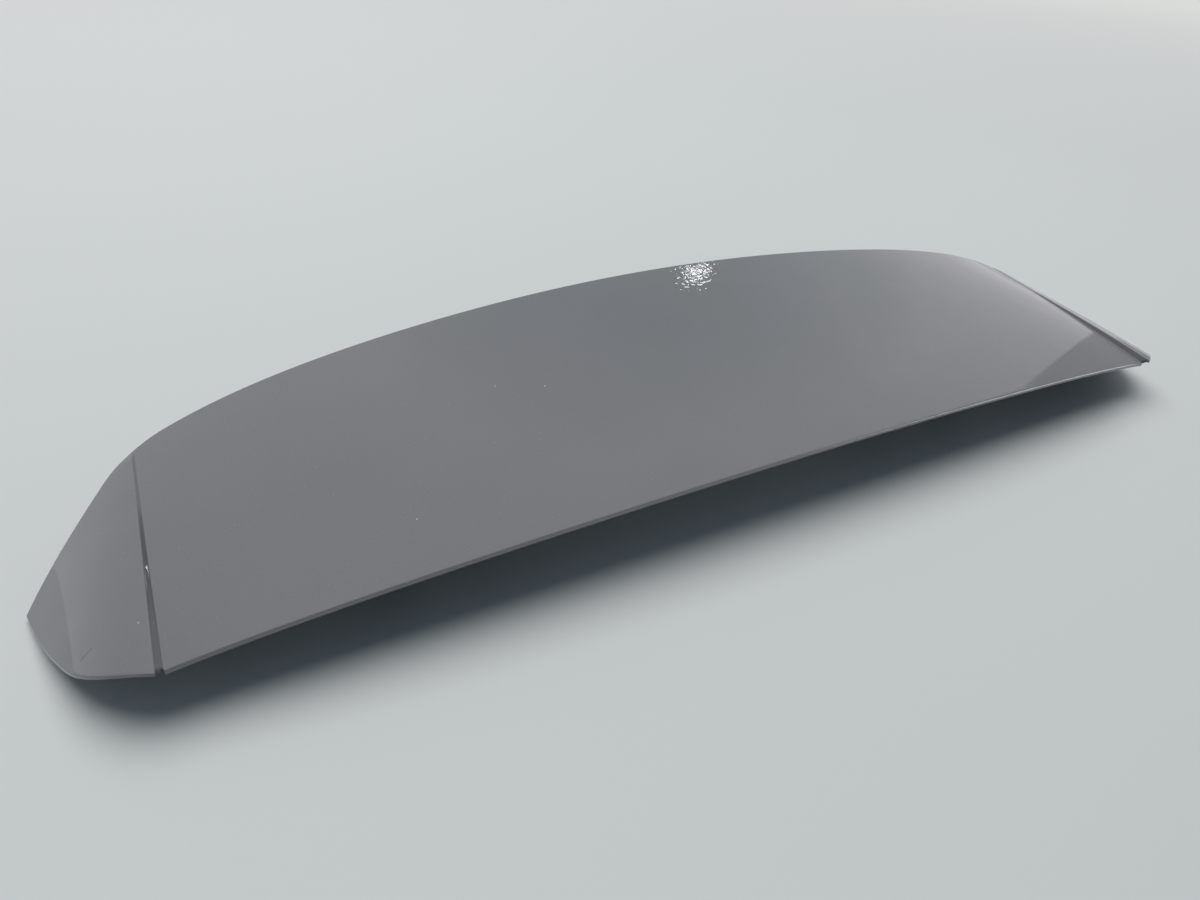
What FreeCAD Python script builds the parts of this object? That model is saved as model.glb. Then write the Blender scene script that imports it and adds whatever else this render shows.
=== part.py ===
import FreeCAD
import Part
import math
import os

# Roof spoiler of a hatchback: a painted outer skin with two down-turned ears, a black inner shell
# bonded under it, and the studs, clips and seals that fix it to a tailgate.
# Frame: X across the car, Y towards the car's front, Z up. The origin lies on the surface that the
# spoiler rests on, under the middle of the panel. Millimetres.

doc = FreeCAD.newDocument("roof_spoiler")
sheet = doc.addObject("Spreadsheet::Sheet", "Sizes")

SIZES = [
    # Panel, seen from the side
    ("panel_depth", 281.0),
    ("tail_height", 71.2),
    ("nose_height", 131.2),
    ("camber", 4.0),
    # Panel, seen from behind: a crown, and a roll-off towards the front corners
    ("crown_tail", 22.0),
    ("crown_nose", 27.0),
    ("roll_tail", 4.4),
    ("roll_nose", 20.0),
    # Creases between the panel and the ears
    ("crease_half_span_tail", 515.0),
    ("crease_half_span_nose", 498.0),
    ("step_height", 5.0),
    ("step_run", 197.0),
    ("step_low", 0.8),
    ("step_low_end", 86.0),
    ("step_low_fade", 8.0),
    ("step_least", 0.1),
    ("step_width_tail", 4.8),
    ("step_width_nose", 1.0),
    ("notch_depth", 2.0),
    # Ears: their slope at the crease, how fast they curl down, and their corners seen from above
    ("ear_slope_tail", 0.02),
    ("ear_slope_nose", 0.46),
    ("ear_curl_tail", 0.0093),
    ("ear_curl_nose", 0.0016),
    ("ear_root_out", 12.9),
    ("ear_tip_out", 84.2),
    ("ear_tip_from_nose", 128.8),
    ("ear_tip_radius", 3.0),
    ("ear_tail_out", 4.0),
    ("ear_shoulder_out", 59.7),
    ("ear_shoulder_from_tail", 60.5),
    ("ear_side_hollow", 6.3),
    ("ear_back_bulge", 2.6),
    ("ear_corner_bulge", 8.0),
    # Outline of the panel, seen from above
    ("nose_radius", 2600.0),
    ("nose_corner_radius", 70.0),
    ("tail_bow", 7.5),
    # Outer skin
    ("skin_wall", 3.0),
    ("lip_depth", 4.2),
    ("nose_return", 9.0),
    # Inner shell
    ("bond_gap", 0.6),
    ("shell_wall", 2.5),
    ("shell_clearance", 1.5),
    ("shell_side_margin", 10.0),
    ("shell_corner_radius", 30.0),
    ("pan_depth", 30.0),
    ("pan_side_flange", 10.0),
    ("pan_side_ramp", 120.0),
    ("pan_tail_flange", 10.0),
    ("pan_tail_ramp", 92.0),
    ("pan_floor_length", 45.0),
    ("pan_nose_flange", 24.0),
    ("rib_thickness", 2.2),
    ("rib_depth", 9.0),
    ("rib_spacing", 110.0),
    ("rib_length", 145.0),
    ("rib_from_seal", 4.0),
    # Turrets and studs
    ("stud_spacing_x", 660.0),
    ("stud_spacing_y", 90.0),
    ("stud_centre_y", 10.0),
    ("stud_diameter", 6.0),
    ("stud_shoulder_diameter", 7.0),
    ("stud_clearance", 0.2),
    ("stud_chamfer", 0.8),
    ("stud_head_flats", 10.0),
    ("stud_head_height", 4.0),
    ("seat_height", 20.0),
    ("turret_foot_radius", 18.0),
    ("turret_head_radius", 29.0),
    ("turret_height", 100.0),
    ("turret_floor", 5.0),
    ("head_pocket", 2.5),
    ("retainer_side", 12.0),
    ("retainer_thickness", 0.6),
    ("stud_seal_side", 25.0),
    ("stud_seal_bore_radius", 9.0),
    ("stud_seal_thickness", 6.0),
    # Locating pegs
    ("peg_spacing_x", 480.0),
    ("peg_radius", 4.0),
    ("peg_tip_radius", 2.0),
    ("peg_tip_length", 5.0),
    ("peg_core_radius", 5.0),
    ("peg_web_width", 18.0),
    ("peg_reach", 10.0),
    # Clips on the nose flange
    ("clip_spacing_x", 170.0),
    ("tab_from_nose", 10.0),
    ("tab_width", 20.0),
    ("tab_thickness", 2.5),
    ("tab_length", 15.0),
    ("clip_width", 14.0),
    ("clip_sheet", 0.8),
    ("clip_gap", 0.1),
    ("clip_leg", 11.0),
    ("clip_bulge", 2.4),
    ("clip_bulge_rise", 6.0),
    # Seals
    ("nose_seal_from_nose", 15.0),
    ("nose_seal_width", 8.0),
    ("nose_seal_thickness", 7.0),
    ("nose_seal_half_length", 430.0),
    ("glass_seal_from_turrets", 1.0),
    ("glass_seal_width", 8.0),
    ("glass_seal_thickness", 6.0),
    ("glass_seal_half_length", 420.0),
]

for row, (alias, value) in enumerate(SIZES, start=1):
    sheet.set(f"A{row}", alias)
    sheet.set(f"B{row}", str(value))
    sheet.setAlias(f"B{row}", alias)
doc.recompute()


def size(alias):
    return float(getattr(sheet, alias))


def blend(start, end, share):
    return start + (end - start) * share


def spaced(start, end, count):
    return [blend(start, end, i / (count - 1)) for i in range(count)]


def vector(x, y, z=0.0):
    return FreeCAD.Vector(x, y, z)


# Surface of the panel and the ears

tail_y = -size("panel_depth") / 2
nose_y = size("panel_depth") / 2
shell_half_width = size("crease_half_span_nose") - size("shell_side_margin")
shell_inset = size("skin_wall") + size("shell_clearance")
ROLL_POWER = 8


def share_of_depth(y):
    return (y - tail_y) / size("panel_depth")


def crease_x(y):
    return blend(size("crease_half_span_tail"), size("crease_half_span_nose"), share_of_depth(y))


def panel_height(x, y):
    share = share_of_depth(y)
    spine = blend(size("tail_height"), size("nose_height"), share)
    spine += 4 * size("camber") * share * (1 - share)
    across = abs(x) / crease_x(y)
    crown = blend(size("crown_tail"), size("crown_nose"), share) * across ** 2
    roll = blend(size("roll_tail"), size("roll_nose"), share) * across ** ROLL_POWER
    return spine - crown - roll


def step_height(y):
    """Height of the crease's wall: tall at the tail, then a low run that ends short of the nose."""
    tall = size("step_height") * (1 - (y - tail_y) / size("step_run"))
    low = size("step_low") * min((size("step_low_end") - y) / size("step_low_fade"), 1.0)
    return max(tall, low, size("step_least"))


def step_width(y):
    return blend(size("step_width_tail"), size("step_width_nose"), share_of_depth(y))


def ear_height(reach, y):
    """Height of an ear at a reach outwards from the top of its step."""
    share = share_of_depth(y)
    slope = blend(size("ear_slope_tail"), size("ear_slope_nose"), share)
    curl = blend(size("ear_curl_tail"), size("ear_curl_nose"), share)
    foot = panel_height(crease_x(y), y)
    return foot + step_height(y) - slope * (step_width(y) + reach) - curl * reach ** 2


def nose_line_y(x, inset=0.0):
    radius = size("nose_radius")
    return nose_y - radius + math.sqrt((radius - inset) ** 2 - x ** 2)


# The skin's layers: solids between two depths under the surface, lofted through sections from tail to nose

PRISM_BOTTOM = -100.0
PRISM_TOP = 300.0
OVERLAP = 1.0
TOLERANCE = 1e-6
SECTION_MARGIN = 8.0
SKIN_SECTION_COUNT = 8
PANEL_POINT_COUNT = 21
EAR_POINT_COUNT = 7
ear_reach = size("ear_tip_out") + size("crease_half_span_tail") - size("crease_half_span_nose")


def spline(points):
    curve = Part.BSplineCurve()
    curve.interpolate(points)
    return curve.toShape()


def offset_points(xs, height, y, depth):
    """Points of a section, moved square to the surface by a depth."""
    tiny = 0.01
    points = []
    for x in xs:
        rise = (height(x + tiny) - height(x - tiny)) / (2 * tiny)
        scale = depth / math.hypot(rise, 1.0)
        points.append(vector(x + rise * scale, y, height(x) - scale))
    return points


def skin_line(y, depth):
    """Five edges from the left ear's end to the right ear's end."""
    crease = crease_x(y)
    ridge = crease + step_width(y)
    panel_xs = spaced(-crease, crease, PANEL_POINT_COUNT)
    panel = offset_points(panel_xs, lambda x: panel_height(x, y), y, depth)
    ear_xs = spaced(ridge, ridge + ear_reach, EAR_POINT_COUNT)
    ear = offset_points(ear_xs, lambda x: ear_height(x - ridge, y), y, depth)
    left_ear = [vector(-p.x, p.y, p.z) for p in reversed(ear)]
    return [
        spline(left_ear),
        Part.makeLine(left_ear[-1], panel[0]),
        spline(panel),
        Part.makeLine(panel[-1], ear[0]),
        spline(ear),
    ]


def section(upper, lower):
    """A closed wire between an upper and a lower row of edges."""
    upper_ends = upper[0].firstVertex().Point, upper[-1].lastVertex().Point
    lower_ends = lower[0].firstVertex().Point, lower[-1].lastVertex().Point
    sides = [Part.makeLine(*ends) for ends in zip(upper_ends, lower_ends)]
    return Part.Wire(Part.__sortEdges__(upper + sides + lower))


def skin_layer(upper_depth, lower_depth):
    ys = spaced(tail_y - SECTION_MARGIN, nose_y + SECTION_MARGIN, SKIN_SECTION_COUNT)
    sections = [section(skin_line(y, upper_depth), skin_line(y, lower_depth)) for y in ys]
    return Part.makeLoft(sections, True, False)


# The shell's layers: ruled between lines that run across the pan, with its flanges, ramps and floor

SPAN_POINTS = (3, 5, 11, 5, 3)
shell_rim = shell_half_width - size("pan_side_flange")
floor_half_width = shell_rim - size("pan_side_ramp")


def shell_stations():
    """Lines across the shell from tail to nose: Y at an X, and the share of the pan's depth."""
    tail_flange = tail_y + shell_inset + size("pan_tail_flange")
    tail_floor = tail_flange + size("pan_tail_ramp")
    nose_floor = tail_floor + size("pan_floor_length")
    nose_flange = shell_inset + size("pan_nose_flange")
    return [
        (lambda x: tail_y - SECTION_MARGIN, 0.0),
        (lambda x: tail_flange, 0.0),
        (lambda x: tail_floor, 1.0),
        (lambda x: nose_floor, 1.0),
        (lambda x: nose_line_y(x, nose_flange), 0.0),
        (lambda x: nose_line_y(x), 0.0),
        (lambda x: nose_y + SECTION_MARGIN, 0.0),
    ]


def shell_edges(line_y, height):
    """Edges across the shell: flange, ramp, floor, ramp, flange."""
    edge = shell_half_width + OVERLAP
    ends = [-edge, -shell_rim, -floor_half_width, floor_half_width, shell_rim, edge]
    edges = []
    for start, end, count in zip(ends, ends[1:], SPAN_POINTS):
        xs = spaced(start, end, count)
        edges.append(spline([vector(x, line_y(x), height(x, line_y(x))) for x in xs]))
    return edges


def shell_height(share, depth):
    """Height of a line across the shell, a depth straight below the shell's upper face."""
    def height(x, y):
        side = min(max((shell_rim - abs(x)) / size("pan_side_ramp"), 0.0), 1.0)
        face = panel_height(x, y) - size("skin_wall") - size("bond_gap")
        return face - size("pan_depth") * share * side - depth
    return height


def shell_layer(upper_depth, lower_depth):
    sections = []
    for line_y, share in shell_stations():
        upper = shell_edges(line_y, shell_height(share, upper_depth))
        lower = shell_edges(line_y, shell_height(share, lower_depth))
        sections.append(section(upper, lower))
    return Part.makeLoft(sections, True, True)


def space_below_shell():
    """Everything under the middle of the shell's wall."""
    sections = []
    for line_y, share in shell_stations():
        upper = shell_edges(line_y, shell_height(share, size("shell_wall") / 2))
        lower = shell_edges(line_y, lambda x, y: PRISM_BOTTOM)
        sections.append(section(upper, lower))
    return Part.makeLoft(sections, True, True)


# Outlines seen from above, as upright prisms

def prism(edges):
    face = Part.Face(Part.Wire(Part.__sortEdges__(edges)))
    face.translate(vector(0, 0, PRISM_BOTTOM))
    return face.extrude(vector(0, 0, PRISM_TOP - PRISM_BOTTOM))


def moved(shape, y):
    copy = shape.copy()
    copy.translate(vector(0, y))
    return copy


def block(x_low, x_high, y_low, y_high):
    corner = vector(x_low, y_low, PRISM_BOTTOM)
    return Part.makeBox(x_high - x_low, y_high - y_low, PRISM_TOP - PRISM_BOTTOM, corner)


def arc(start, middle, end):
    return Part.Arc(start, middle, end).toShape()


def bulged_arc(start, end, bulge):
    """An arc whose middle stands off the chord, to the right of the way from start to end."""
    way = end.sub(start)
    aside = vector(way.y, -way.x).normalize()
    return arc(start, start.add(end).multiply(0.5).add(aside.multiply(bulge)), end)


def mirror_edge(edge):
    return edge.mirror(vector(0, 0), vector(1, 0))


def fillet_uprights(solid, radius, x, y):
    """Round the upright edges nearest to a point and to its mirror image."""
    height = PRISM_TOP - PRISM_BOTTOM
    uprights = [e for e in solid.Edges if abs(e.BoundBox.ZLength - height) < TOLERANCE]
    chosen = []
    for corner_x in (-x, x):
        corner = vector(corner_x, y, PRISM_BOTTOM + height / 2)
        chosen.append(min(uprights, key=lambda e: e.CenterOfMass.distanceToPoint(corner)))
    return solid.makeFillet(radius, chosen)


def crease_ends():
    """The crease's foot at the end of the panel's tail, and its ridge at the ear's rear edge."""
    foot = vector(size("crease_half_span_tail"), tail_y + size("tail_bow"))
    return foot, foot.add(vector(step_width(tail_y), -size("ear_tail_out")))


def skin_outline():
    foot, ridge = crease_ends()
    shoulder = vector(size("crease_half_span_tail") + size("ear_shoulder_out"),
                      tail_y + size("ear_shoulder_from_tail"))
    tip = vector(size("crease_half_span_tail") + size("ear_tip_out"), nose_y - size("ear_tip_from_nose"))
    root_x = size("crease_half_span_nose") + size("ear_root_out")
    root = vector(root_x, nose_line_y(root_x))
    half = [
        Part.makeLine(foot, ridge),
        bulged_arc(ridge, shoulder, size("ear_corner_bulge")),
        bulged_arc(shoulder, tip, size("ear_back_bulge")),
        bulged_arc(tip, root, -size("ear_side_hollow")),
    ]
    tail = arc(vector(-foot.x, foot.y), vector(0, tail_y), foot)
    nose = arc(root, vector(0, nose_y), vector(-root.x, root.y))
    solid = prism(half + [mirror_edge(e) for e in half] + [tail, nose])
    solid = fillet_uprights(solid, size("nose_corner_radius"), root.x, root.y)
    return fillet_uprights(solid, size("ear_tip_radius"), tip.x, tip.y)


def shell_outline():
    """The inner shell's edge: inside the skin's lip and return, short of the creases."""
    x = shell_half_width
    tail_corner = vector(x, tail_y + size("tail_bow") + shell_inset)
    nose_corner = vector(x, nose_line_y(x, shell_inset))
    tail = arc(vector(-x, tail_corner.y), vector(0, tail_y + shell_inset), tail_corner)
    nose = arc(nose_corner, vector(0, nose_y - shell_inset), vector(-x, nose_corner.y))
    side = Part.makeLine(tail_corner, nose_corner)
    solid = prism([tail, side, nose, mirror_edge(side)])
    solid = fillet_uprights(solid, size("shell_corner_radius"), x, tail_corner.y)
    return fillet_uprights(solid, size("shell_corner_radius"), x, nose_corner.y)


def nose_band(from_nose, width, half_length):
    """A strip that runs along the nose."""
    edges = []
    for inset in (from_nose, from_nose + width):
        end = vector(half_length, nose_line_y(half_length, inset))
        edges.append(arc(vector(-end.x, end.y), vector(0, nose_line_y(0, inset)), end))
    outer, inner = edges
    edges.append(Part.makeLine(outer.firstVertex().Point, inner.firstVertex().Point))
    edges.append(Part.makeLine(outer.lastVertex().Point, inner.lastVertex().Point))
    return prism(edges)


# Document helpers

def feature(name, shape):
    made = doc.addObject("Part::Feature", name)
    made.Shape = shape
    return made


def primitive(kind, name, place, **sizes):
    """A Part primitive whose place and sizes follow expressions on the sheet."""
    made = doc.addObject(kind, name)
    for prop, expression in sizes.items():
        made.setExpression(prop, expression)
    for axis, expression in zip("xyz", place):
        made.setExpression(f"Placement.Base.{axis}", expression)
    return made


def cut(name, base, tool):
    made = doc.addObject("Part::Cut", name)
    made.Base = base
    made.Tool = tool
    return made


def common(name, first, second):
    made = doc.addObject("Part::MultiCommon", name)
    made.Shapes = [first, second]
    return made


def fuse(name, shapes):
    made = doc.addObject("Part::MultiFuse", name)
    made.Shapes = shapes
    made.Refine = True
    return made


def group(label, shapes):
    """Several separate solids that share one node."""
    made = feature(label, Part.makeCompound(shapes))
    made.Label = label
    return made


SIDES = {"left": -1, "right": 1}
ROWS = {"rear": -1, "front": 1}


# Outer skin: one moulding with a lip down the tail and a return along the nose

def make_outer_skin():
    outline = skin_outline()
    wall = size("skin_wall")
    shell = feature("skin_shell", skin_layer(0.0, wall).common(outline))

    half = size("crease_half_span_tail") - OVERLAP
    strip = outline.cut(moved(outline, wall)).common(block(-half, half, tail_y - OVERLAP, 0.0))
    lip = feature("tail_lip", skin_layer(OVERLAP, size("lip_depth")).common(strip))

    half = size("crease_half_span_nose") - size("nose_corner_radius") / 2
    strip = outline.cut(moved(outline, -wall)).common(block(-half, half, 0.0, nose_y + OVERLAP))
    nose = feature("nose_return", skin_layer(OVERLAP, size("nose_return")).common(strip))

    foot, ridge = crease_ends()
    into = vector(0, size("notch_depth"))
    corners = [foot.add(into), ridge.add(into), ridge.sub(into), foot.sub(into)]
    edges = Part.makePolygon(corners + corners[:1]).Edges
    notch = feature("crease_notches", Part.makeCompound(
        [prism(edges), prism([mirror_edge(e) for e in edges])]))
    moulding = fuse("skin_moulding", [shell, lip, nose])
    return cut("outer_skin", moulding, notch)


# Inner shell: a pan with flanges, four turrets, ribs, locating pegs and clip tabs

def make_inner_shell():
    wall = size("shell_wall")
    outline = shell_outline()
    pan = feature("pan", shell_layer(0.0, wall).common(outline))
    below = feature("space_below_pan", space_below_shell().common(outline))
    parts = [pan]
    hollows = []
    for row, y_sign in ROWS.items():
        for side, x_sign in SIDES.items():
            x = f"{x_sign} * Sizes.stud_spacing_x / 2"
            y = f"Sizes.stud_centre_y + {y_sign} * Sizes.stud_spacing_y / 2"
            parts.append(make_turret(f"{row}_{side}", x, y, below))
            hollows += make_turret_hollows(f"{row}_{side}", x, y)
    for side, sign in SIDES.items():
        parts += make_peg(side, sign, below)
    parts += make_ribs(outline)
    parts += make_tabs(below.Shape)
    return cut("inner_shell", fuse("shell_moulding", parts), fuse("shell_hollows", hollows))


def make_turret(place, x, y, below):
    cone = primitive("Part::Cone", f"turret_{place}", (x, y, "Sizes.seat_height"),
                     Radius1="Sizes.turret_foot_radius", Radius2="Sizes.turret_head_radius",
                     Height="Sizes.turret_height")
    return common(f"turret_wall_{place}", cone, below)


def make_turret_hollows(place, x, y):
    """The turret's inside, the pocket that holds the stud's head, and the stud's hole."""
    floor_top = "Sizes.seat_height + Sizes.turret_floor"
    inside = primitive("Part::Cone", f"turret_hollow_{place}", (x, y, floor_top),
                       Radius1="Sizes.turret_foot_radius - Sizes.shell_wall",
                       Radius2="Sizes.turret_head_radius - Sizes.shell_wall",
                       Height="Sizes.turret_height")
    pocket = primitive("Part::Prism", f"head_pocket_{place}", (x, y, f"{floor_top} - Sizes.head_pocket"),
                       Circumradius="(Sizes.stud_head_flats / 2 + Sizes.stud_clearance) / cos(30)",
                       Height="Sizes.turret_floor")
    hole = primitive("Part::Cylinder", f"stud_hole_{place}", (x, y, f"Sizes.seat_height - {OVERLAP}"),
                     Radius="Sizes.stud_shoulder_diameter / 2 + Sizes.stud_clearance",
                     Height=f"Sizes.turret_floor + 2 * {OVERLAP}")
    return [inside, pocket, hole]


def make_peg(side, sign, below):
    x = f"{sign} * Sizes.peg_spacing_x / 2"
    y = "Sizes.stud_centre_y"
    tip_top = "Sizes.seat_height - Sizes.peg_reach + Sizes.peg_tip_length"
    stem = primitive("Part::Cylinder", f"peg_stem_{side}", (x, y, tip_top),
                     Radius="Sizes.peg_radius", Height="Sizes.peg_reach")
    core = primitive("Part::Cylinder", f"peg_core_{side}", (x, y, "Sizes.seat_height"),
                     Radius="Sizes.peg_core_radius", Height="Sizes.turret_height")
    web_corner = (f"{x} - Sizes.peg_web_width / 2", f"{y} - Sizes.rib_thickness / 2", "Sizes.seat_height")
    web = primitive("Part::Box", f"peg_web_{side}", web_corner, Length="Sizes.peg_web_width",
                    Width="Sizes.rib_thickness", Height="Sizes.turret_height")
    cross_corner = (f"{x} - Sizes.rib_thickness / 2", f"{y} - Sizes.peg_web_width / 2", "Sizes.seat_height")
    cross = primitive("Part::Box", f"peg_cross_web_{side}", cross_corner, Length="Sizes.rib_thickness",
                      Width="Sizes.peg_web_width", Height="Sizes.turret_height")
    tip = primitive("Part::Cone", f"peg_tip_{side}", (x, y, "Sizes.seat_height - Sizes.peg_reach"),
                    Radius1="Sizes.peg_tip_radius", Radius2="Sizes.peg_radius",
                    Height="Sizes.peg_tip_length")
    rooted = [common(f"{part.Name}_rooted", part, below) for part in (core, web, cross)]
    return rooted + [stem, tip]


RIB_COUNT = 5


def make_ribs(outline):
    """Upright ribs under the pan, side by side across its middle, in front of the glass seal."""
    wall = size("shell_wall")
    space = shell_layer(wall / 2, wall + size("rib_depth")).common(outline)
    thickness = size("rib_thickness")
    back = glass_seal_y() + size("glass_seal_width") + size("rib_from_seal")
    ribs = []
    for i in range(RIB_COUNT):
        x = (i - (RIB_COUNT - 1) / 2) * size("rib_spacing")
        strip = block(x - thickness / 2, x + thickness / 2, back, back + size("rib_length"))
        ribs.append(feature(f"rib_{i + 1}", space.common(strip)))
    return ribs


CLIP_COUNT = 5


def clip_frames():
    """Places on the nose flange's lower face, turned along the nose."""
    frames = []
    for i in range(CLIP_COUNT):
        x = (i - (CLIP_COUNT - 1) / 2) * size("clip_spacing_x")
        y = nose_line_y(x, size("tab_from_nose"))
        z = panel_height(x, y) - size("skin_wall") - size("bond_gap") - size("shell_wall")
        turn = FreeCAD.Rotation(vector(0, 0, 1), -math.degrees(x / size("nose_radius")))
        frames.append(FreeCAD.Placement(vector(x, y, z), turn))
    return frames


def make_tabs(space):
    """Upright tabs that hang from the nose flange, each with its root inside the flange."""
    width = size("tab_width")
    thickness = size("tab_thickness")
    length = size("tab_length")
    height = length + size("shell_wall") + size("rib_depth")
    tabs = []
    for i, frame in enumerate(clip_frames()):
        tab = Part.makeBox(width, thickness, height, vector(-width / 2, -thickness / 2, -length))
        tab.Placement = frame
        tabs.append(feature(f"tab_{i + 1}", tab.common(space)))
    return tabs


# Studs, their retainers and foam pads

def stud_copies(shape):
    copies = []
    for y_sign in ROWS.values():
        y = size("stud_centre_y") + y_sign * size("stud_spacing_y") / 2
        for x_sign in SIDES.values():
            copy = shape.copy()
            copy.translate(vector(x_sign * size("stud_spacing_x") / 2, y))
            copies.append(copy)
    return copies


def make_studs():
    """Hexagon-headed studs with a shoulder in the turret's floor. Their ends stand on the ground."""
    shoulder_end = "Sizes.seat_height - Sizes.retainer_thickness"
    head_seat = "Sizes.seat_height + Sizes.turret_floor - Sizes.head_pocket"
    shank = primitive("Part::Cylinder", "stud_shank", ("0", "0", "0"),
                      Radius="Sizes.stud_diameter / 2", Height=shoulder_end)
    shoulder = primitive("Part::Cylinder", "stud_shoulder", ("0", "0", shoulder_end),
                         Radius="Sizes.stud_shoulder_diameter / 2",
                         Height=f"{head_seat} - ({shoulder_end})")
    head = primitive("Part::Prism", "stud_head", ("0", "0", head_seat),
                     Circumradius="Sizes.stud_head_flats / 2 / cos(30)", Height="Sizes.stud_head_height")
    blank = fuse("stud_blank", [shank, shoulder, head])
    doc.recompute()
    end = [i for i, e in enumerate(blank.Shape.Edges, start=1) if abs(e.BoundBox.ZMax) < TOLERANCE]
    stud = doc.addObject("Part::Chamfer", "stud")
    stud.Base = blank
    stud.Edges = [(i, size("stud_chamfer"), size("stud_chamfer")) for i in end]
    doc.recompute()
    return group("mounting_studs", stud_copies(stud.Shape))


def square_washer(name, z, side, bore, thickness):
    corner = (f"-{side} / 2", f"-{side} / 2", z)
    plate = primitive("Part::Box", f"{name}_plate", corner, Length=side, Width=side, Height=thickness)
    hole = primitive("Part::Cylinder", f"{name}_hole", ("0", "0", z), Radius=bore, Height=thickness)
    made = cut(name, plate, hole)
    doc.recompute()
    return made.Shape


def make_retainers():
    shape = square_washer("retainer", "Sizes.seat_height - Sizes.retainer_thickness",
                          "Sizes.retainer_side", "Sizes.stud_shoulder_diameter / 2",
                          "Sizes.retainer_thickness")
    return group("stud_retainers", stud_copies(shape))


def make_stud_seals():
    shape = square_washer("stud_seal", "Sizes.seat_height - Sizes.stud_seal_thickness",
                          "Sizes.stud_seal_side", "Sizes.stud_seal_bore_radius",
                          "Sizes.stud_seal_thickness")
    return group("stud_seals", stud_copies(shape))


# Spring clips: bent sheet round each tab, with legs that bulge outwards

def make_clips():
    sheet_thickness = size("clip_sheet")
    inside = size("tab_thickness") / 2 + size("clip_gap")
    floor = -size("tab_length") - size("clip_gap")
    bulge = inside + size("clip_bulge")
    inner = [
        (inside, floor),
        (bulge, floor + size("clip_bulge_rise")),
        (inside, floor + size("clip_leg")),
    ]
    outer = [(y + sheet_thickness, z) for y, z in inner]
    outer[0] = (inside + sheet_thickness, floor - sheet_thickness)
    half = outer + inner[::-1]
    points = half + [(-y, z) for y, z in reversed(half)]
    wire = Part.makePolygon([vector(0, y, z) for y, z in points + points[:1]])
    strip = Part.Face(wire).extrude(vector(size("clip_width"), 0))
    strip.translate(vector(-size("clip_width") / 2, 0))
    copies = []
    for frame in clip_frames():
        copy = strip.copy()
        copy.Placement = frame.multiply(copy.Placement)
        copies.append(copy)
    return group("retaining_clips", copies)


# Seals stuck under the inner shell

def make_nose_seal():
    band = nose_band(size("nose_seal_from_nose"), size("nose_seal_width"), size("nose_seal_half_length"))
    wall = size("shell_wall")
    return feature("nose_seal", shell_layer(wall, wall + size("nose_seal_thickness")).common(band))


def glass_seal_y():
    """The rear edge of the strip, which lies behind the rear turrets."""
    turret_back = size("stud_centre_y") - size("stud_spacing_y") / 2 - size("turret_head_radius")
    return turret_back - size("glass_seal_from_turrets") - size("glass_seal_width")


def make_glass_seal():
    half = size("glass_seal_half_length")
    back = glass_seal_y()
    band = block(-half, half, back, back + size("glass_seal_width"))
    wall = size("shell_wall")
    return feature("glass_seal", shell_layer(wall, wall + size("glass_seal_thickness")).common(band))


pieces = [
    make_outer_skin(),
    make_inner_shell(),
    make_studs(),
    make_retainers(),
    make_stud_seals(),
    make_clips(),
    make_nose_seal(),
    make_glass_seal(),
]
doc.recompute()

for item in doc.Objects:
    if "Invalid" in item.State or "Error" in item.State:
        raise RuntimeError(f"{item.Label} did not build: {item.State}")
for piece in pieces:
    if piece.Shape.isNull() or not piece.Shape.isValid():
        raise RuntimeError(f"{piece.Label} is not a valid solid")

os.makedirs("parts", exist_ok=True)
for piece in pieces:
    piece.Shape.exportStep(f"parts/{piece.Label}.step")
    box = piece.Shape.optimalBoundingBox(True, False)
    print(f"{piece.Label}: {len(piece.Shape.Solids)} solid(s), {piece.Shape.Volume / 1000:.1f} cm3,"
          f" X {box.XMin:.1f} {box.XMax:.1f}, Y {box.YMin:.1f} {box.YMax:.1f},"
          f" Z {box.ZMin:.2f} {box.ZMax:.1f}")
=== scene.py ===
import math

import bmesh
import bpy
from mathutils import Matrix, Vector


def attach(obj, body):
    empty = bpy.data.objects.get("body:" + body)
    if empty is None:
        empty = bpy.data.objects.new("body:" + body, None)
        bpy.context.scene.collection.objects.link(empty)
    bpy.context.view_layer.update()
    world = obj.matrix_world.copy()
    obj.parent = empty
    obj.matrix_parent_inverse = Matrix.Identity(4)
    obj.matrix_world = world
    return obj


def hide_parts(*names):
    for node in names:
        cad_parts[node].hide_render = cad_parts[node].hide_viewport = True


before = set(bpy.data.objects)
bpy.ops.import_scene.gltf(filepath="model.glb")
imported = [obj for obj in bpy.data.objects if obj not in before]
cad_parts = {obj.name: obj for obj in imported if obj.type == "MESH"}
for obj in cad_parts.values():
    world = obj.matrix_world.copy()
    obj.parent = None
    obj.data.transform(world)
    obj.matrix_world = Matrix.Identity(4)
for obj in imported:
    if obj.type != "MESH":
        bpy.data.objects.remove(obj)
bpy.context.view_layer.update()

MM = 0.001

# Sizes of the painted skin, in millimetres: the part's own, with a rounder nose corner

PANEL_DEPTH = 281.0
TAIL_HEIGHT = 71.2
NOSE_HEIGHT = 131.2
CAMBER = 4.0
CROWN = (22.0, 27.0)
ROLL = (4.4, 20.0)
ROLL_POWER = 8
CREASE_HALF_SPAN = (515.0, 498.0)
STEP_HEIGHT = 5.0
STEP_RUN = 197.0
STEP_LOW = 0.8
STEP_LOW_END = 86.0
STEP_LOW_FADE = 8.0
STEP_LEAST = 0.1
STEP_WIDTH = (4.8, 1.0)
NOTCH_DEPTH = 2.0
EAR_SLOPE = (0.02, 0.46)
EAR_CURL = (0.0093, 0.0016)
EAR_ROOT_OUT = 12.9
EAR_TIP_OUT = 84.2
EAR_TIP_FROM_NOSE = 128.8
EAR_TIP_RADIUS = 3.0
EAR_TAIL_OUT = 4.0
EAR_SHOULDER_OUT = 59.7
EAR_SHOULDER_FROM_TAIL = 60.5
EAR_SIDE_HOLLOW = 6.3
EAR_BACK_BULGE = 2.6
EAR_CORNER_BULGE = 8.0
NOSE_RADIUS = 2600.0
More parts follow.
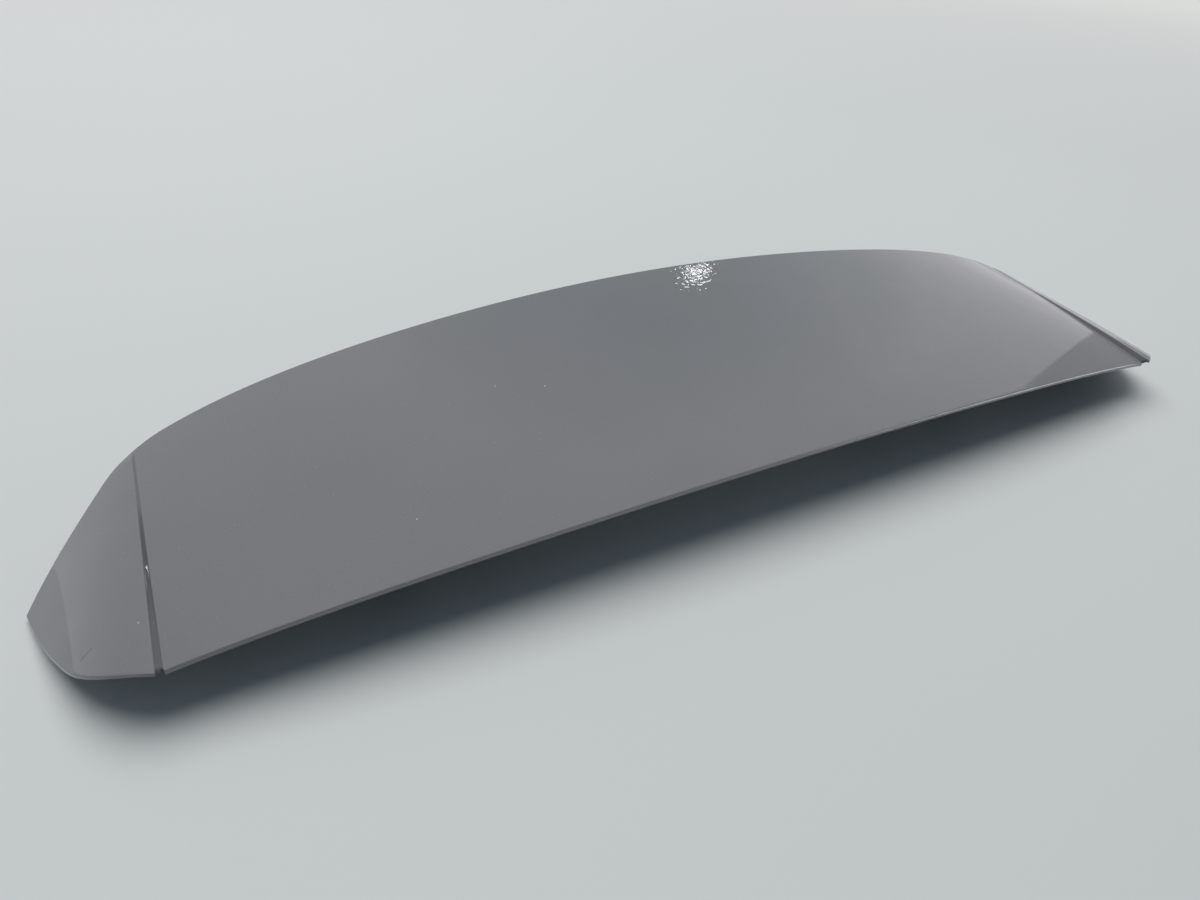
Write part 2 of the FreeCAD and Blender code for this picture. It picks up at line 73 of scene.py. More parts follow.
NOSE_CORNER_RADIUS = 95.0
TAIL_BOW = 7.5
SKIN_WALL = 3.0
LIP_DEPTH = 4.2
NOSE_RETURN = 9.0
RETURN_STOP = 35.0

TAIL_Y = -PANEL_DEPTH / 2
NOSE_Y = PANEL_DEPTH / 2


def blend(start, end, share):
    return start + (end - start) * share


def spaced(start, end, count):
    return [blend(start, end, i / (count - 1)) for i in range(count)]


# Surface of the panel, the creases and the ears

CREASE_ROUNDING = 0.7
ROUNDING_SAMPLES = 9


def share_of_depth(y):
    return (y - TAIL_Y) / PANEL_DEPTH


def crease_x(y):
    return blend(*CREASE_HALF_SPAN, share_of_depth(y))


def panel_height(x, y):
    share = share_of_depth(y)
    spine = blend(TAIL_HEIGHT, NOSE_HEIGHT, share) + 4 * CAMBER * share * (1 - share)
    across = abs(x) / crease_x(y)
    return spine - blend(*CROWN, share) * across ** 2 - blend(*ROLL, share) * across ** ROLL_POWER


def step_height(y):
    tall = STEP_HEIGHT * (1 - (y - TAIL_Y) / STEP_RUN)
    low = STEP_LOW * min((STEP_LOW_END - y) / STEP_LOW_FADE, 1.0)
    return max(tall, low, STEP_LEAST)


def step_width(y):
    return blend(*STEP_WIDTH, share_of_depth(y))


def ear_height(reach, y):
    share = share_of_depth(y)
    foot = panel_height(crease_x(y), y)
    slope = blend(*EAR_SLOPE, share)
    curl = blend(*EAR_CURL, share)
    return foot + step_height(y) - slope * (step_width(y) + reach) - curl * reach ** 2


def sharp_height(past_crease, y):
    """Height at a distance outwards from the foot of the crease, with sharp corners."""
    if past_crease <= 0:
        return panel_height(crease_x(y) + past_crease, y)
    if past_crease >= step_width(y):
        return ear_height(past_crease - step_width(y), y)
    foot = panel_height(crease_x(y), y)
    return blend(foot, ear_height(0.0, y), past_crease / step_width(y))


def surface_height(x, y):
    """Height of the painted surface, with the crease's foot and ridge rounded."""
    past_crease = abs(x) - crease_x(y)
    if past_crease < -CREASE_ROUNDING:
        return panel_height(x, y)
    if past_crease > step_width(y) + CREASE_ROUNDING:
        return ear_height(past_crease - step_width(y), y)
    near = spaced(past_crease - CREASE_ROUNDING, past_crease + CREASE_ROUNDING, ROUNDING_SAMPLES)
    return sum(sharp_height(d, y) for d in near) / ROUNDING_SAMPLES


# Outline seen from above, as two rows of points from the middle plane to the right ear's tip

ARC_POINTS = 40


def arc_through(start, end, bulge):
    """Centre and radius of an arc that stands off its chord, to the right of the way."""
    way = end - start
    half = way.length / 2
    radius = (half ** 2 + bulge ** 2) / (2 * abs(bulge))
    aside = Vector((way.y, -way.x)).normalized() * math.copysign(1.0, bulge)
    return (start + end) / 2 - aside * (radius - abs(bulge)), radius


def arc_points(centre, start, end):
    first = math.atan2(start.y - centre.y, start.x - centre.x)
    turn = math.atan2(end.y - centre.y, end.x - centre.x) - first
    turn = (turn + math.pi) % (2 * math.pi) - math.pi
    radius = (start - centre).length
    angles = spaced(first, first + turn, ARC_POINTS)
    return [centre + radius * Vector((math.cos(a), math.sin(a))) for a in angles]


def fillet(first, first_reach, second, second_reach, near):
    """Centre of a fillet from its distances to two arcs' centres, and where it meets both arcs."""
    way = second[0] - first[0]
    gap = way.length
    along = (gap ** 2 + first_reach ** 2 - second_reach ** 2) / (2 * gap)
    aside = math.sqrt(first_reach ** 2 - along ** 2)
    base = first[0] + way * (along / gap)
    square = Vector((-way.y, way.x)) * (aside / gap)
    centre = min((base + square, base - square), key=lambda p: (p - near).length)
    meets = [arc[0] + (centre - arc[0]).normalized() * arc[1] for arc in (first, second)]
    return centre, meets[0], meets[1]


def outline_rows():
    tail_middle = Vector((0.0, TAIL_Y))
    foot = Vector((CREASE_HALF_SPAN[0], TAIL_Y + TAIL_BOW))
    ridge = foot + Vector((step_width(TAIL_Y), -EAR_TAIL_OUT))
    shoulder = Vector((CREASE_HALF_SPAN[0] + EAR_SHOULDER_OUT, TAIL_Y + EAR_SHOULDER_FROM_TAIL))
    tip = Vector((CREASE_HALF_SPAN[0] + EAR_TIP_OUT, NOSE_Y - EAR_TIP_FROM_NOSE))
    nose_centre = Vector((0.0, NOSE_Y - NOSE_RADIUS))
    root_x = CREASE_HALF_SPAN[1] + EAR_ROOT_OUT
    root = nose_centre + Vector((root_x, math.sqrt(NOSE_RADIUS ** 2 - root_x ** 2)))

    tail_radius = (foot.x ** 2 + TAIL_BOW ** 2) / (2 * TAIL_BOW)
    tail_centre = Vector((0.0, TAIL_Y + tail_radius))
    corner = arc_through(ridge, shoulder, EAR_CORNER_BULGE)
    back = arc_through(shoulder, tip, EAR_BACK_BULGE)
    side = arc_through(tip, root, -EAR_SIDE_HOLLOW)

    tip_centre, tip_back, tip_side = fillet(
        back, back[1] - EAR_TIP_RADIUS, side, side[1] + EAR_TIP_RADIUS, tip)
    nose_fillet_centre, nose_start, nose_end = fillet(
        (nose_centre, NOSE_RADIUS), NOSE_RADIUS - NOSE_CORNER_RADIUS,
        side, side[1] + NOSE_CORNER_RADIUS, root)
    apex = tip_centre + Vector((EAR_TIP_RADIUS, 0.0))

    rear = arc_points(tail_centre, tail_middle, foot)
    rear += arc_points(corner[0], ridge, shoulder)
    rear += arc_points(back[0], shoulder, tip_back)[1:]
    rear += arc_points(tip_centre, tip_back, apex)[1:]
    front = arc_points(nose_centre, Vector((0.0, NOSE_Y)), nose_start)
    front += arc_points(nose_fillet_centre, nose_start, nose_end)[1:]
    front += arc_points(side[0], nose_end, tip_side)[1:]
    front += arc_points(tip_centre, tip_side, apex)[1:]
    return rear, front


REAR, FRONT = outline_rows()
TIP_X = REAR[-1].x


def row_y(row, x):
    """Y of an outline row at an X."""
    x = min(abs(x), TIP_X)
    low, high = 0, len(row) - 1
    while high - low > 1:
        middle = (low + high) // 2
        if row[middle].x <= x:
            low = middle
        else:
            high = middle
    width = row[high].x - row[low].x
    share = (x - row[low].x) / width if width > 0 else 1.0
    return blend(row[low].y, row[high].y, share)


# The painted skin as one closed mesh, of many columns across the car.
# Each column is a loop from tail to nose and back underneath.

PANEL_COLUMNS = 150
CREASE_COLUMNS = 28
EAR_COLUMNS = 40
CREASE_MARGIN = 3.0
TOP_ROWS = 64
UNDER_ROWS = 16
EDGE_RADIUS = 1.3
EDGE_SHARE = 0.44
EDGE_STEPS = 4
RETURN_END = CREASE_HALF_SPAN[1] - RETURN_STOP
SETTLE_STEPS = 6
SLOPE_REACH = 0.5
MERGE_DISTANCE = 1e-6
NORMAL_WEIGHT = 80


def column_places():
    """Columns of the right half, each as a function that gives X at a Y."""
    places = []
    for share in spaced(0.0, 1.0, PANEL_COLUMNS // 2):
        places.append(lambda y, share=share: share * (crease_x(y) - CREASE_MARGIN))
    for share in spaced(0.0, 1.0, CREASE_COLUMNS)[1:]:
        places.append(lambda y, share=share: crease_x(y) + blend(
            -CREASE_MARGIN, step_width(y) + CREASE_MARGIN, share))
    for i in range(1, EAR_COLUMNS + 1):
        share = math.sin(math.pi / 2 * i / EAR_COLUMNS)
        places.append(lambda y, share=share: blend(
            crease_x(y) + step_width(y) + CREASE_MARGIN, TIP_X, share))
    return places


def notch(x, y):
    """How far the tail edge is cut back at the end of a crease."""
    past = x - crease_x(y)
    return NOTCH_DEPTH if 0.0 < past < step_width(y) else 0.0


def edge_profile(wall, depth):
    """Inset from an edge and depth under the surface, from the top face over the edge to the underside."""
    radius = min(EDGE_RADIUS, wall * EDGE_SHARE)
    profile = [(2 * radius, 0.0)]
    for i in range(EDGE_STEPS + 1):
        angle = math.pi / 2 * i / EDGE_STEPS
        profile.append((radius * (1 - math.sin(angle)), radius * (1 - math.cos(angle))))
    for i in range(EDGE_STEPS + 1):
        angle = math.pi / 2 * i / EDGE_STEPS
        profile.append((radius * (1 - math.cos(angle)), depth - radius * (1 - math.sin(angle))))
    profile.append((wall, depth))
    profile.append((wall, wall))
    return profile


def column_loop(place):
    """Points of one closed loop: over the top from tail to nose, and back underneath."""
    def ends(y):
        x = place(y)
        return row_y(REAR, x) + notch(x, y), row_y(FRONT, x)

    middle = (TAIL_Y + NOSE_Y) / 2
    for _ in range(SETTLE_STEPS):
        middle = sum(ends(middle)) / 2
    rear_y = front_y = middle
    for _ in range(SETTLE_STEPS):
        rear_y = ends(rear_y)[0]
        front_y = ends(front_y)[1]
    length = max(front_y - rear_y, 0.0)
    wall = min(SKIN_WALL, length / 3)
    on_panel = place(rear_y) < crease_x(rear_y)
    lip = LIP_DEPTH if on_panel else SKIN_WALL
    fold = NOSE_RETURN if place(front_y) < RETURN_END else SKIN_WALL

    tail_side = edge_profile(wall, lip)
    nose_side = edge_profile(wall, fold)
    first = tail_side[0][0]
    last = length - nose_side[0][0]
    top = [(along, 0.0) for along in spaced(first, max(first, last), TOP_ROWS)]
    under = [(along, SKIN_WALL) for along in spaced(length - wall, wall, UNDER_ROWS)]
    loop = top + [(length - inset, depth) for inset, depth in nose_side[1:-1]]
    loop += under + [(inset, depth) for inset, depth in reversed(tail_side[1:-1])]

    points = []
    for along, depth in loop:
        y = rear_y + along
        x = place(y)
        rise = surface_height(x + SLOPE_REACH, y) - surface_height(x - SLOPE_REACH, y)
        slope = rise / (2 * SLOPE_REACH)
        points.append(Vector((x, y, surface_height(x, y) - depth * math.hypot(slope, 1.0))))
    return points


# Attribute that carries the painted shade, a darker base colour on the walls of the creases
PAINTED_SHADE_LAYER = "painted_crease_shade"
SHADE_FADE = 0.6
SHADE_FULL_HEIGHT = 1.2


def crease_shade_share(x, y):
    """Painted shade: one on the wall of a crease, half on its border, nought beside it, and less where it
    is low.
    """
    past = abs(x) - crease_x(y)
    inside = min(past, step_width(y) - past) / SHADE_FADE
    return min(max(inside + 0.5, 0.0), 1.0) * min(step_height(y) / SHADE_FULL_HEIGHT, 1.0)


def mesh_object(name, mesh):
    made = bpy.data.objects.new(name, mesh)
    bpy.context.scene.collection.objects.link(made)
    return made


def make_painted_skin():
    right = [column_loop(place) for place in column_places()]
    left = [[Vector((-p.x, p.y, p.z)) for p in loop] for loop in reversed(right[1:])]
    loops = left + right
    shape = bmesh.new()
    layer = shape.verts.layers.float.new(PAINTED_SHADE_LAYER)
    rows = []
    for loop in loops:
        rows.append([shape.verts.new(p * MM) for p in loop])
        for vert, p in zip(rows[-1], loop):
            vert[layer] = crease_shade_share(p.x, p.y)
    count = len(rows[0])
    for here, there in zip(rows, rows[1:]):
        for k in range(count):
            after = (k + 1) % count
            shape.faces.new((here[k], there[k], there[after], here[after]))
    bmesh.ops.remove_doubles(shape, verts=shape.verts, dist=MERGE_DISTANCE)
    bmesh.ops.dissolve_degenerate(shape, edges=shape.edges, dist=MERGE_DISTANCE)
    bmesh.ops.recalc_face_normals(shape, faces=shape.faces)
    for face in shape.faces:
        face.smooth = True
    mesh = bpy.data.meshes.new("painted_skin")
    shape.to_mesh(mesh)
    shape.free()
    skin = mesh_object("painted_skin", mesh)
    weighted = skin.modifiers.new("weighted_normals", "WEIGHTED_NORMAL")
    weighted.weight = NORMAL_WEIGHT
    return skin


# Materials

# Sockets of the Mix node that take and give colours, whose names it also uses for other kinds
MIX_COLOURS = (6, 7)
MIX_RESULT = 2


class Nodes:
    """The node tree of a material or of the world, with its coordinates in metres or directions."""

    def __init__(self, owner, shader, coordinates):
        owner.use_nodes = True
        self.owner = owner
        self.tree = owner.node_tree
        self.shader = self.tree.nodes[shader]
        self.place = self.add("ShaderNodeTexCoord").outputs[coordinates]

    def add(self, kind, **values):
        node = self.tree.nodes.new(kind)
        for key, value in values.items():
            setattr(node, key, value)
        return node

    def join(self, output, socket):
        self.tree.links.new(output, socket)

    def set(self, **values):
        for key, value in values.items():
            self.shader.inputs[key.replace("_", " ").title()].default_value = value

    def noise(self, scale, detail=2.0, roughness=0.5):
        node = self.add("ShaderNodeTexNoise")
        node.inputs["Scale"].default_value = scale
        node.inputs["Detail"].default_value = detail
        node.inputs["Roughness"].default_value = roughness
        self.join(self.place, node.inputs["Vector"])
        return node.outputs["Fac"]

    def ramp(self, value, low, high, start=0.0, end=1.0):
        node = self.add("ShaderNodeMapRange", clamp=True)
        sockets = ("From Min", "From Max", "To Min", "To Max")
        for socket, number in zip(sockets, (low, high, start, end)):
            node.inputs[socket].default_value = number
        self.join(value, node.inputs["Value"])
        return node.outputs["Result"]

    def math(self, operation, first, second):
        node = self.add("ShaderNodeMath", operation=operation)
        for value, socket in zip((first, second), node.inputs):
            if isinstance(value, (int, float)):
                socket.default_value = value
            else:
                self.join(value, socket)
        return node.outputs["Value"]

    def mix(self, share, first, second):
        node = self.add("ShaderNodeMix", data_type="RGBA")
        self.join(share, node.inputs["Factor"])
        for value, index in zip((first, second), MIX_COLOURS):
            socket = node.inputs[index]
            if isinstance(value, tuple):
                socket.default_value = (*value, 1.0)
            else:
                self.join(value, socket)
        return node.outputs[MIX_RESULT]

    def vector(self, operation, first, second):
        node = self.add("ShaderNodeVectorMath", operation=operation)
        for value, socket in zip((first, second), node.inputs):
            if isinstance(value, Vector):
                socket.default_value = value
            else:
                self.join(value, socket)
        plain = operation in ("DOT_PRODUCT", "DISTANCE")
        return node.outputs["Value" if plain else "Vector"]

    def stroke(self, start, end, radius):
        """One on a short straight stroke between two places, given in millimetres."""
        way = (end - start) * MM
        from_start = self.vector("SUBTRACT", self.place, start * MM)
        along = self.vector("DOT_PRODUCT", from_start, way / way.length_squared)
        along = self.ramp(along, 0.0, 1.0)
        scaled = self.add("ShaderNodeVectorMath", operation="SCALE")
        scaled.inputs[0].default_value = way
        self.join(along, scaled.inputs["Scale"])
        away = self.vector("DISTANCE", from_start, scaled.outputs["Vector"])
        return self.ramp(away, radius * MM / 2, radius * MM, 1.0, 0.0)

    def bump(self, height, strength, distance):
        node = self.add("ShaderNodeBump")
        node.inputs["Strength"].default_value = strength
        node.inputs["Distance"].default_value = distance
        self.join(height, node.inputs["Height"])
        return node.outputs["Normal"]

    def seen_rays(self):
        """One for what the camera sees, also in a mirror or through glass, and nought for shading."""
        path = self.add("ShaderNodeLightPath").outputs
        direct = self.math("MAXIMUM", path["Is Camera Ray"], path["Is Transmission Ray"])
        return self.math("MAXIMUM", direct, path["Is Glossy Ray"])


def new_material(name):
    return Nodes(bpy.data.materials.new(name), "Principled BSDF", "Object")


# Lower and upper value of a noise, between which most of it lies
NOISE_SPAN = (0.3, 0.7)

PAINT_GREY = (0.161, 0.159, 0.166)
PAINT_DARK = (0.152, 0.154, 0.159)
PAINT_FLAKE = (0.3, 0.3, 0.31)
SCRATCH_DARK = (0.05, 0.05, 0.05)
SPECK_PALE = (0.45, 0.45, 0.44)
DUST_PALE = (0.4, 0.4, 0.39)
# Darker base colour on the crease walls: painted shade
PAINTED_CREASE_SHADE = (0.07, 0.071, 0.077)
DRIFT_SCALE = 7.0
DRIFT_SPAN = (0.35, 0.65)
FLAKE_SCALE = 2600.0
FLAKE_SHARE = 0.09
DUST_SCALE = 1100.0
DUST_SPAN = (0.8, 0.84)
DUST_SHARE = 0.5
PAINT_ROUGHNESS = (0.42, 0.5)
PAINT_ROUGHNESS_SCALE = 30.0
PAINT_SPECULAR = 0.2
ORANGE_PEEL_SCALE = 215.0
ORANGE_PEEL_HEIGHT = 0.00016
ORANGE_PEEL_LEAST = 0.06
CLEAR_COAT_IOR = 1.5
CLEAR_COAT_ROUGHNESS = 0.02

# Marks on the paint, each from one place to another in millimetres, with its radius
SCRATCHES = [(Vector((-562.6, -88.7, 36.0)), Vector((-553.6, -87.5, 43.1)), 0.45)]
SPECKS = [
    (Vector((-523.0, -91.5, 56.6)), Vector((-522.8, -90.5, 57.0)), 0.7),
    (Vector((-171.8, 7.2, 104.0)), Vector((-171.0, 7.8, 104.0)), 0.6),
    (Vector((-213.0, 22.6, 105.5)), Vector((-212.2, 23.0, 105.5)), 0.5),
    (Vector((-325.6, -88.3, 75.4)), Vector((-325.0, -87.7, 75.4)), 0.6),
]


def paint_material():
    """Grey paint under a clear coat, with painted shade on the crease walls and orange peel that grows
    towards the nose.
    """
    nodes = new_material("grey_paint")
    drift = nodes.ramp(nodes.noise(DRIFT_SCALE), *DRIFT_SPAN)
    colour = nodes.mix(drift, PAINT_GREY, PAINT_DARK)
    flakes = nodes.ramp(nodes.noise(FLAKE_SCALE, 1.0), *NOISE_SPAN, 0.0, FLAKE_SHARE)
    colour = nodes.mix(flakes, colour, PAINT_FLAKE)
    # Painted shade: the walls of the creases get a darker base colour
    crease_shade = nodes.add("ShaderNodeAttribute", attribute_name=PAINTED_SHADE_LAYER).outputs["Fac"]
    colour = nodes.mix(crease_shade, colour, PAINTED_CREASE_SHADE)
    for start, end, radius in SCRATCHES:
        colour = nodes.mix(nodes.stroke(start, end, radius), colour, SCRATCH_DARK)
    for start, end, radius in SPECKS:
        colour = nodes.mix(nodes.stroke(start, end, radius), colour, SPECK_PALE)
    dust = nodes.ramp(nodes.noise(DUST_SCALE, 0.0), *DUST_SPAN, 0.0, DUST_SHARE)
    colour = nodes.mix(dust, colour, DUST_PALE)
    nodes.join(colour, nodes.shader.inputs["Base Color"])
    rough = nodes.ramp(nodes.noise(PAINT_ROUGHNESS_SCALE), *NOISE_SPAN, *PAINT_ROUGHNESS)
    nodes.join(rough, nodes.shader.inputs["Roughness"])
    nodes.set(coat_weight=1.0, coat_roughness=CLEAR_COAT_ROUGHNESS)
    nodes.shader.inputs["Coat IOR"].default_value = CLEAR_COAT_IOR
    nodes.shader.inputs["Specular IOR Level"].default_value = PAINT_SPECULAR
    split = nodes.add("ShaderNodeSeparateXYZ")
    nodes.join(nodes.place, split.inputs["Vector"])
    towards_nose = nodes.ramp(split.outputs["Y"], 0.0, NOSE_Y * MM, ORANGE_PEEL_LEAST, 1.0)
    peel = nodes.math("MULTIPLY", nodes.noise(ORANGE_PEEL_SCALE, 1.0), towards_nose)
    peel = nodes.bump(peel, 1.0, ORANGE_PEEL_HEIGHT)
    nodes.join(peel, nodes.shader.inputs["Coat Normal"])
    return nodes.owner


WEAR_SCALE = 22.0
WEAR_DETAIL = 4.0
WEAR_SPAN = (0.45, 0.75)
MOULDED_ROUGHNESS_SCALE = 60.0
MOULDED_ROUGHNESS_SPREAD = 0.15
GRAIN_DETAIL = 3.0
GRAIN_STRENGTH = 0.5
GRAIN_HEIGHT = 0.0001


def moulded_material(name, colour, worn, grain_scale, roughness):
    """Black plastic, foam or rubber: a fine grain, and slightly paler in worn patches."""
    nodes = new_material(name)
    patches = nodes.ramp(nodes.noise(WEAR_SCALE, WEAR_DETAIL), *WEAR_SPAN)
    nodes.join(nodes.mix(patches, colour, worn), nodes.shader.inputs["Base Color"])
    rough = nodes.ramp(nodes.noise(MOULDED_ROUGHNESS_SCALE), *NOISE_SPAN,
                       roughness, roughness + MOULDED_ROUGHNESS_SPREAD)
    nodes.join(rough, nodes.shader.inputs["Roughness"])
    grain = nodes.bump(nodes.noise(grain_scale, GRAIN_DETAIL), GRAIN_STRENGTH, GRAIN_HEIGHT)
    nodes.join(grain, nodes.shader.inputs["Normal"])
    return nodes.owner


TARNISH_SCALE = 260.0
TARNISH_DETAIL = 3.0
TARNISH_SPAN = (0.35, 0.7)
METAL_ROUGHNESS_SCALE = 900.0
METAL_ROUGHNESS_SPREAD = 0.2


def metal_material(name, colour, tarnish, roughness):
    """Plated or bare steel with tarnished patches."""
    nodes = new_material(name)
    patches = nodes.ramp(nodes.noise(TARNISH_SCALE, TARNISH_DETAIL), *TARNISH_SPAN)
    nodes.join(nodes.mix(patches, colour, tarnish), nodes.shader.inputs["Base Color"])
    rough = nodes.ramp(nodes.noise(METAL_ROUGHNESS_SCALE), *NOISE_SPAN,
                       roughness, roughness + METAL_ROUGHNESS_SPREAD)
    nodes.join(rough, nodes.shader.inputs["Roughness"])
    nodes.set(metallic=1.0)
    return nodes.owner


# Each colour with the one of its worn or tarnished patches
BLACK_PLASTIC = ((0.018, 0.018, 0.02), (0.03, 0.03, 0.031))
BLACK_FOAM = ((0.03, 0.03, 0.032), (0.05, 0.05, 0.051))
BLACK_RUBBER = ((0.012, 0.012, 0.013), (0.02, 0.02, 0.021))
YELLOW_ZINC = ((0.62, 0.5, 0.24), (0.5, 0.42, 0.3))
SPRING_STEEL = ((0.3, 0.31, 0.33), (0.2, 0.2, 0.21))

# Scale of the grain of the moulded pieces, and the least roughness of each material
PLASTIC_GRAIN = 900.0
FOAM_GRAIN = 1400.0
RUBBER_GRAIN = 500.0
PLASTIC_ROUGHNESS = 0.45
FOAM_ROUGHNESS = 0.8
RUBBER_ROUGHNESS = 0.5
ZINC_ROUGHNESS = 0.3
SPRING_ROUGHNESS = 0.35


def dress(node, material):
    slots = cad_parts[node].data.materials
    slots.clear()
    slots.append(material)


# Stage, light and camera

FLOOR_SIZE = 60.0
FLOOR_FADE_START = 1.6
FLOOR_FADE_END = 4.5
BACKDROP_GREY = (0.7, 0.71, 0.7)
FLOOR_GREY = (0.67, 0.68, 0.655)
FLOOR_ROUGHNESS = 0.5
CAMERA_PLACE = Vector((-483.9, -613.0, 510.1)) * MM
CAMERA_YAW = math.radians(31.04)
CAMERA_PITCH = math.radians(34.2)
CAMERA_ROLL = math.radians(3.6)
CAMERA_LENS = 27.15
SENSOR_WIDTH = 36.0

# Soft light on the surfaces
SKY_FOR_SHADE = (0.13, 0.165, 0.205)

# The room that the paint mirrors: its colours, its directions, and where one part fades into another
BLACK = (0.0, 0.0, 0.0)
ROOM_LOW = (0.95, 0.93, 0.97)
ROOM_HIGH = (0.9, 0.92, 0.92)
ROOM_RISE_SPAN = (0.1, 0.9)
ROOM_MIDDLE = (0.34, 0.43, 0.44)
ROOM_MIDDLE_WAY = Vector((0.5, 0.64, 0.583))
ROOM_MIDDLE_SPAN = (0.92, 0.99)
ROOM_EDGE = Vector((-0.387, 0.892, 0.233))
ROOM_EDGE_WIDTH = 0.002
ROOM_DARK_SIDE = 0.32
ROOM_BEHIND = 0.3
ROOM_BEHIND_SPAN = (-0.6, -0.1)
ROOM_FOOT_SPAN = (0.08, 0.16)


def make_floor():
    """A pale floor that fades into the backdrop far from the part."""
    bpy.ops.mesh.primitive_plane_add(size=FLOOR_SIZE, location=(0.0, 0.0, 0.0))
    floor = bpy.context.object
    floor.name = "floor"
    nodes = new_material("pale_floor")
    nodes.set(base_color=(*FLOOR_GREY, 1.0), roughness=FLOOR_ROUGHNESS)
    glow = nodes.add("ShaderNodeEmission")
    glow.inputs["Color"].default_value = (*BACKDROP_GREY, 1.0)
    away = nodes.vector("DISTANCE", nodes.place, Vector((0.0, 0.0, 0.0)))
    far = nodes.ramp(away, FLOOR_FADE_START, FLOOR_FADE_END)
    fade = nodes.add("ShaderNodeMixShader")
    nodes.join(nodes.math("MULTIPLY", nodes.seen_rays(), far), fade.inputs["Fac"])
    nodes.join(nodes.shader.outputs["BSDF"], fade.inputs[1])
    nodes.join(glow.outputs["Emission"], fade.inputs[2])
    nodes.join(fade.outputs["Shader"], nodes.tree.nodes["Material Output"].inputs["Surface"])
    floor.data.materials.append(nodes.owner)


def make_world():
    """Soft light from all sides. The paint mirrors a pale room with a darker middle and a darker side."""
    world = bpy.data.worlds.new("studio")
    bpy.context.scene.world = world
    nodes = Nodes(world, "Background", "Generated")

    split = nodes.add("ShaderNodeSeparateXYZ")
    nodes.join(nodes.place, split.inputs["Vector"])
    rise = split.outputs["Z"]
    pale = nodes.mix(nodes.ramp(rise, *ROOM_RISE_SPAN), ROOM_LOW, ROOM_HIGH)
    near_middle = nodes.vector("DOT_PRODUCT", nodes.place, ROOM_MIDDLE_WAY)
    room = nodes.mix(nodes.ramp(near_middle, *ROOM_MIDDLE_SPAN), pale, ROOM_MIDDLE)

    beside = nodes.vector("DOT_PRODUCT", nodes.place, ROOM_EDGE)
    edge = nodes.ramp(beside, -ROOM_EDGE_WIDTH, ROOM_EDGE_WIDTH, ROOM_DARK_SIDE, 1.0)
    behind = nodes.ramp(beside, *ROOM_BEHIND_SPAN, ROOM_BEHIND, 1.0)
    low = nodes.ramp(rise, *ROOM_FOOT_SPAN, 1.0, 0.0)
    lit = nodes.math("MAXIMUM", nodes.math("MULTIPLY", edge, behind), low)
    room = nodes.mix(lit, BLACK, room)

    path = nodes.add("ShaderNodeLightPath")
    seen = nodes.math("MAXIMUM", path.outputs["Is Camera Ray"], path.outputs["Is Transmission Ray"])
    light = nodes.mix(path.outputs["Is Glossy Ray"], SKY_FOR_SHADE, room)
    nodes.join(nodes.mix(seen, light, BACKDROP_GREY), nodes.shader.inputs["Color"])


def area_light(name, place, target, width, height, brightness):
    """An elliptical lamp whose face has the given brightness, and which the camera doesn't see."""
    light = bpy.data.lights.new(name, "AREA")
    light.shape = "ELLIPSE"
    light.size = width
    light.size_y = height
    light.energy = brightness * math.pi * (math.pi / 4 * width * height)
    lamp = bpy.data.objects.new(name, light)
    bpy.context.scene.collection.objects.link(lamp)
    lamp.location = place
    lamp.rotation_euler = (Vector(target) - Vector(place)).to_track_quat("-Z", "Y").to_euler()
    lamp.visible_camera = False
    return lamp


# A wide ceiling light, which the paint doesn't mirror
CEILING_PLACE = (0.0, 1.5, 5.0)
CEILING_TARGET = (0.0, 1.0, 0.0)
CEILING_SIZE = 6.0
CEILING_BRIGHTNESS = 2.85

# A small far lamp for the highlight near the nose edge, which the left crease mirrors too
SPOT_PLACE = (3.46, 3.61, 3.64)
SPOT_TARGET = (0.065, 0.122, 0.128)
SPOT_SIZE = 0.2
SPOT_BRIGHTNESS = 10.0

# A low, wide window on the right of the tail, which lights the paint alone
WINDOW_PLACE = (2.0, -1.45, 0.42)
WINDOW_TARGET = (0.25, -0.14, 0.06)
WINDOW_WIDTH = 1.6
WINDOW_HEIGHT = 0.5
WINDOW_BRIGHTNESS = 9.0


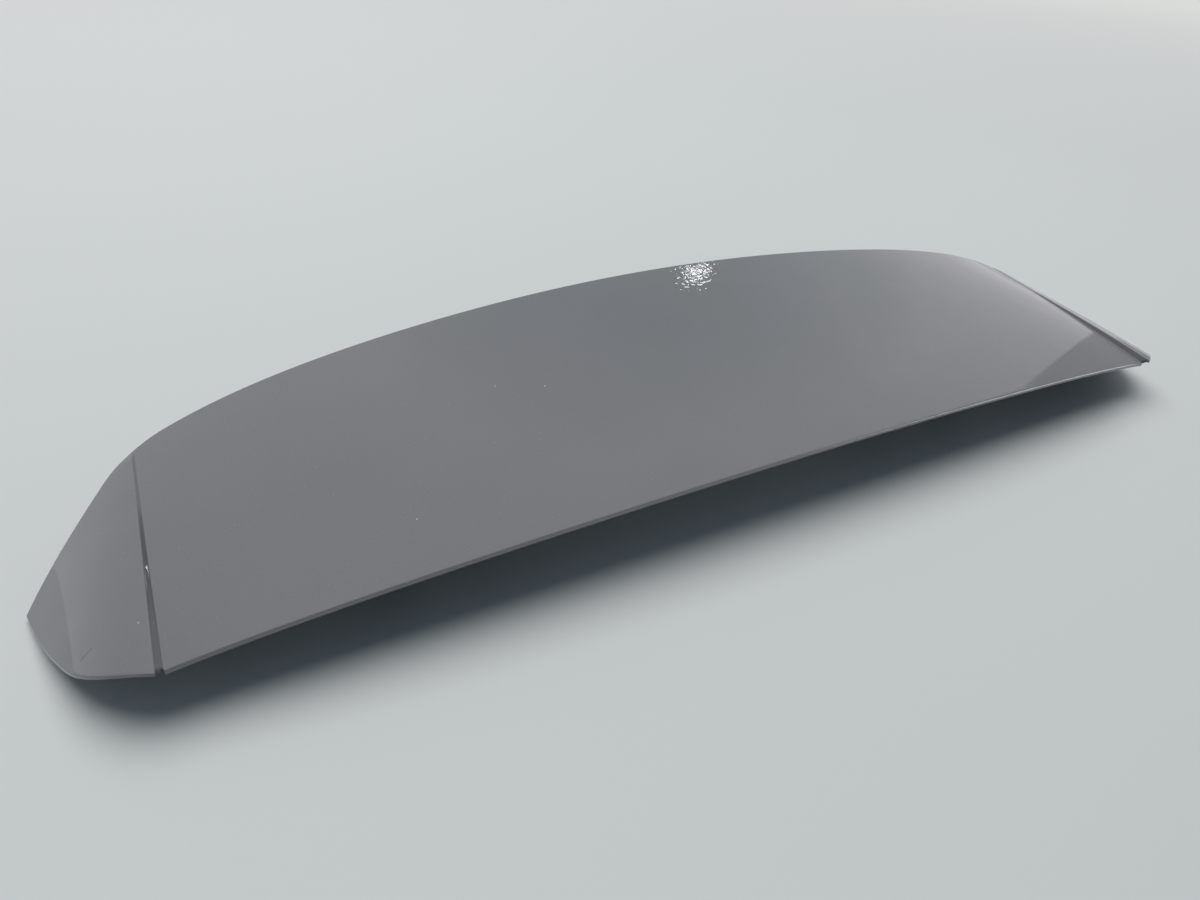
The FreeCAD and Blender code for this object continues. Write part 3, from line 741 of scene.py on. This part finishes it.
def make_lights(painted):
    ceiling = area_light("ceiling_light", CEILING_PLACE, CEILING_TARGET,
                         CEILING_SIZE, CEILING_SIZE, CEILING_BRIGHTNESS)
    ceiling.visible_glossy = False
    area_light("spot_lamp", SPOT_PLACE, SPOT_TARGET, SPOT_SIZE, SPOT_SIZE, SPOT_BRIGHTNESS)
    window = area_light("window", WINDOW_PLACE, WINDOW_TARGET,
                        WINDOW_WIDTH, WINDOW_HEIGHT, WINDOW_BRIGHTNESS)
    lit = bpy.data.collections.new("lit_by_window")
    lit.objects.link(painted)
    window.light_linking.receiver_collection = lit


def make_camera():
    data = bpy.data.cameras.new("camera")
    data.sensor_fit = "HORIZONTAL"
    data.sensor_width = SENSOR_WIDTH
    data.lens = CAMERA_LENS
    camera = bpy.data.objects.new("camera", data)
    bpy.context.scene.collection.objects.link(camera)
    look = Vector((math.sin(CAMERA_YAW) * math.cos(CAMERA_PITCH),
                   math.cos(CAMERA_YAW) * math.cos(CAMERA_PITCH),
                   -math.sin(CAMERA_PITCH)))
    level_right = Vector((math.cos(CAMERA_YAW), -math.sin(CAMERA_YAW), 0.0))
    level_up = level_right.cross(look)
    right = math.cos(CAMERA_ROLL) * level_right + math.sin(CAMERA_ROLL) * level_up
    up = math.cos(CAMERA_ROLL) * level_up - math.sin(CAMERA_ROLL) * level_right
    turn = Matrix((right, up, -look)).transposed()
    camera.matrix_world = Matrix.Translation(CAMERA_PLACE) @ turn.to_4x4()
    bpy.context.scene.camera = camera


skin = make_painted_skin()
skin.data.materials.append(paint_material())
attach(skin, "root")
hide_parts("outer_skin")

dress("inner_shell", moulded_material("black_plastic", *BLACK_PLASTIC, PLASTIC_GRAIN, PLASTIC_ROUGHNESS))
dress("stud_seals", moulded_material("foam", *BLACK_FOAM, FOAM_GRAIN, FOAM_ROUGHNESS))
dress("nose_seal", moulded_material("foam_strip", *BLACK_FOAM, FOAM_GRAIN, FOAM_ROUGHNESS))
dress("glass_seal", moulded_material("rubber", *BLACK_RUBBER, RUBBER_GRAIN, RUBBER_ROUGHNESS))
dress("mounting_studs", metal_material("yellow_zinc", *YELLOW_ZINC, ZINC_ROUGHNESS))
dress("stud_retainers", metal_material("spring_steel", *SPRING_STEEL, SPRING_ROUGHNESS))
dress("retaining_clips", metal_material("clip_steel", *SPRING_STEEL, SPRING_ROUGHNESS))

make_floor()
make_world()
make_camera()
make_lights(skin)
bpy.context.scene.view_settings.view_transform = "Standard"
